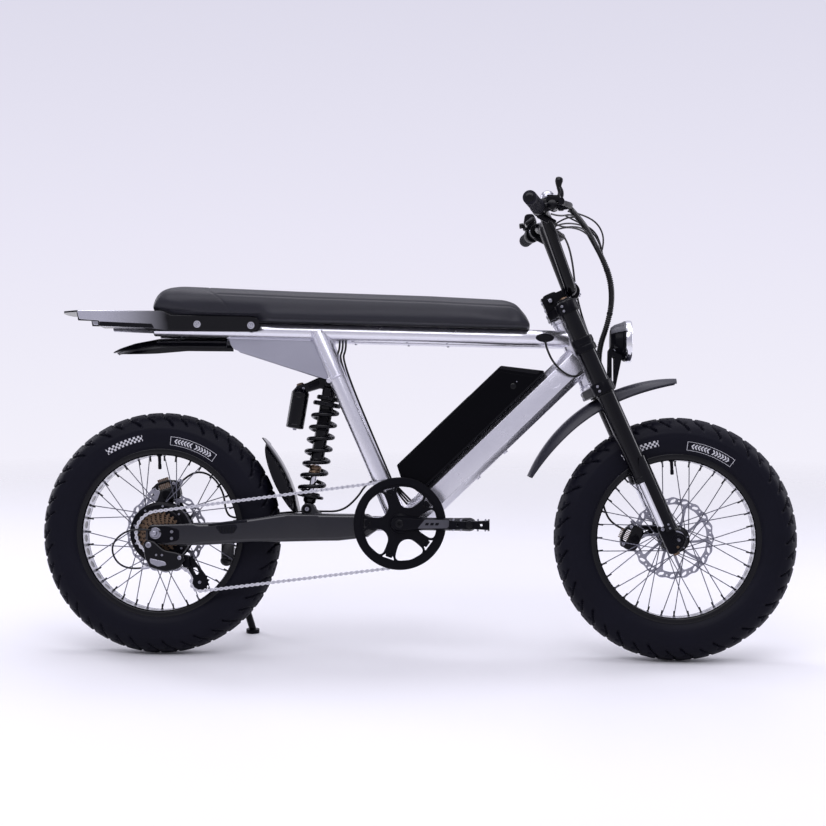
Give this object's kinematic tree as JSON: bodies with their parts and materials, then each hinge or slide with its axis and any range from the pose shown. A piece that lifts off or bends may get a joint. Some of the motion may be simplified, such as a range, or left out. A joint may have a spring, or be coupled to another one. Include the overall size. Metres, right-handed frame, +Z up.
{
  "type": "electric bike",
  "caption": "Electric bike with fat tyres, full suspension, a long bench seat, a tail rack and a hub motor, leaning on its side stand.",
  "frame": {"origin": "on the floor, under the middle of the bounding box of the parked bike", "axes": "+X forward, +Y to the left, the side that the bike leans to, +Z up"},
  "size_m": [1.851, 0.7454, 1.1368],
  "materials": {
    "tyre": "matte moulded rubber",
    "gloss_black": "gloss black powder coat",
    "satin_black": "satin black",
    "steel": "brushed",
    "chrome": "polished",
    "bronze": "bronze coated",
    "aluminium": "brushed and clear coated",
    "gloss_plastic": "gloss",
    "matte_plastic": "matte moulded",
    "leather": "grained vinyl",
    "rubber": "matte",
    "glass": "clear moulded"
  },
  "bodies": {
    "root": {"head_tube": "aluminium", "top_rails": "aluminium", "down_tube": "aluminium", "battery": "gloss_plastic", "seat_struts": "aluminium", "crank_shell": "aluminium", "tail_gussets": "aluminium", "swingarm_right": "gloss_black", "swingarm_left": "gloss_black", "swingarm_yoke": "gloss_black", "rear_axle": "steel", "shock": "gloss_black", "shock_spring": "gloss_black", "chain": "chrome", "derailleur": "satin_black", "seat": "leather", "tail_rack": "gloss_black", "rear_fender": "matte_plastic", "rear_hugger": "matte_plastic", "rear_caliper": "satin_black", "frame_cables": "rubber", "rear_hose": "rubber"},
    "steering": {"lower_crown": "satin_black", "upper_crown": "satin_black", "fork_tubes": "gloss_black", "lower_legs": "chrome", "leg_guards": "matte_plastic", "front_axle": "steel", "front_fender": "matte_plastic", "stem": "satin_black", "handlebar": "gloss_black", "grips": "rubber", "brake_levers": "satin_black", "bar_controls": "matte_plastic", "headlight": "gloss_black", "headlight_lens": "glass", "front_caliper": "satin_black", "bar_loom": "rubber", "front_hose": "rubber"},
    "front_wheel": {"front_tyre": "tyre", "front_rim": "gloss_black", "front_spokes": "chrome", "front_hub": "satin_black", "front_rotor": "steel"},
    "rear_wheel": {"rear_tyre": "tyre", "rear_rim": "gloss_black", "rear_spokes": "chrome", "hub_motor": "satin_black", "rear_rotor": "steel", "freewheel": "bronze"},
    "side_stand": {"side_stand": "satin_black"},
    "crank": {"crankset": "satin_black"},
    "pedal_right": {"pedal_right": "matte_plastic"},
    "pedal_left": {"pedal_left": "matte_plastic"}
  },
  "joints": [
    {"name": "steering", "type": "hinge", "parent": "root", "child": "steering", "pos_m": [0.38141, -0.04491, 0.74499], "axis": [-0.4115, 0.1268, 0.9025], "range_deg": [-35, 35]},
    {"name": "front_wheel_spin", "type": "hinge", "parent": "steering", "child": "front_wheel", "pos_m": [0.63, -0.10835, 0.29364], "axis": [0, 0.9903, -0.1392], "continuous": true},
    {"name": "rear_wheel_spin", "type": "hinge", "parent": "root", "child": "rear_wheel", "pos_m": [-0.63, -0.10835, 0.29364], "axis": [0, 0.9903, -0.1392], "continuous": true},
    {"name": "side_stand", "type": "hinge", "parent": "root", "child": "side_stand", "pos_m": [-0.48, 0.00325, 0.22544], "axis": [0.1117, 0.9081, 0.4036], "range_deg": [0, 96]},
    {"name": "crank_spin", "type": "hinge", "parent": "root", "child": "crank", "pos_m": [-0.039, -0.10417, 0.32334], "axis": [0, 0.9903, -0.1392], "continuous": true},
    {"name": "pedal_right_spin", "type": "hinge", "parent": "crank", "child": "pedal_right", "pos_m": [0.131, -0.25766, 0.34492], "axis": [0, 0.9903, -0.1392], "continuous": true},
    {"name": "pedal_left_spin", "type": "hinge", "parent": "crank", "child": "pedal_left", "pos_m": [-0.209, 0.04932, 0.30177], "axis": [0, 0.9903, -0.1392], "continuous": true}
  ]
}
